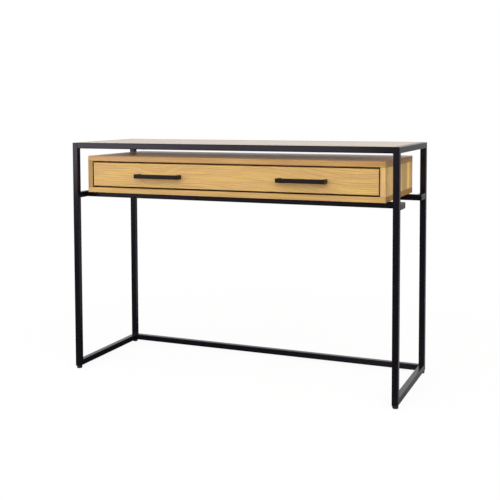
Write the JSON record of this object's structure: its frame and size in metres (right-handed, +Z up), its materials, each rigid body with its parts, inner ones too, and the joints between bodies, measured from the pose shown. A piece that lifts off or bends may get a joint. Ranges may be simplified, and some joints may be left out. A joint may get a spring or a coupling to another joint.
{
  "type": "writing desk",
  "caption": "Slim writing desk: square steel tube frame, inset oak top, and a floating oak case with one wide inset drawer on telescopic runners and bar handles.",
  "frame": {"origin": "centre of the bounding box at floor level, under the glides", "axes": "+X along the desk's width, seen from the front to the right; +Y from the user's side to the rear; +Z up"},
  "size_m": [1.1, 0.403, 0.762],
  "materials": {
    "powder_coat": "matte black fine-texture powder coat on welded steel tube",
    "oak": "matte clear-oiled oak",
    "oak_top": "matte clear-oiled oak, staves glued side by side",
    "birch_ply": "clear-lacquered birch plywood",
    "zinc_steel": "bright zinc-plated steel",
    "black_screw": "black-oxide steel",
    "handle_black": "satin black lacquered zinc alloy",
    "glide_plastic": "matte black moulded plastic"
  },
  "bodies": {
    "frame": {"leg_front_left": "powder_coat", "leg_front_right": "powder_coat", "leg_rear_left": "powder_coat", "leg_rear_right": "powder_coat", "top_rail_front": "powder_coat", "top_rail_rear": "powder_coat", "top_rail_left": "powder_coat", "top_rail_right": "powder_coat", "floor_rail_left": "powder_coat", "floor_rail_right": "powder_coat", "rear_stretcher": "powder_coat", "case_rail_front": "powder_coat", "case_rail_rear": "powder_coat", "case_stub_front_left": "powder_coat", "case_stub_front_right": "powder_coat", "case_stub_rear_left": "powder_coat", "case_stub_rear_right": "powder_coat", "foot_front_left": "glide_plastic", "foot_front_right": "glide_plastic", "foot_rear_left": "glide_plastic", "foot_rear_right": "glide_plastic", "tabletop": "oak_top", "top_tab_front_left": "powder_coat", "top_screw_front_left": "zinc_steel", "top_tab_front_right": "powder_coat", "top_screw_front_right": "zinc_steel", "top_tab_rear_left": "powder_coat", "top_screw_rear_left": "zinc_steel", "top_tab_rear_right": "powder_coat", "top_screw_rear_right": "zinc_steel", "case_bottom": "oak", "case_top": "oak", "case_side_left": "oak", "case_side_right": "oak", "case_back": "oak", "case_screw_front_left": "black_screw", "case_screw_front_right": "black_screw", "case_screw_rear_left": "black_screw", "case_screw_rear_right": "black_screw", "runner_case_left": "zinc_steel", "runner_case_right": "zinc_steel"},
    "drawer": {"runner_drawer_left": "zinc_steel", "runner_drawer_right": "zinc_steel", "drawer_front": "oak", "drawer_box_front": "birch_ply", "drawer_side_left": "birch_ply", "drawer_side_right": "birch_ply", "drawer_back": "birch_ply", "drawer_bottom": "birch_ply", "handle_left": "handle_black", "handle_screw_left_left": "zinc_steel", "handle_screw_left_right": "zinc_steel", "handle_right": "handle_black", "handle_screw_right_left": "zinc_steel", "handle_screw_right_right": "zinc_steel"},
    "middle_member_left": {"runner_middle_left": "zinc_steel"},
    "middle_member_right": {"runner_middle_right": "zinc_steel"}
  },
  "joints": [
    {"name": "drawer_slide", "type": "slide", "parent": "frame", "child": "drawer", "axis": [0, -1, 0], "range_m": [0, 0.28]},
    {"name": "middle_slide_left", "type": "slide", "parent": "frame", "child": "middle_member_left", "axis": [0, -1, 0], "range_m": [0, 0.14]},
    {"name": "middle_slide_right", "type": "slide", "parent": "frame", "child": "middle_member_right", "axis": [0, -1, 0], "range_m": [0, 0.14]}
  ],
  "couplings": [
    {"joint": "middle_slide_left", "follows": "drawer_slide", "ratio": 0.5},
    {"joint": "middle_slide_right", "follows": "drawer_slide", "ratio": 0.5}
  ]
}
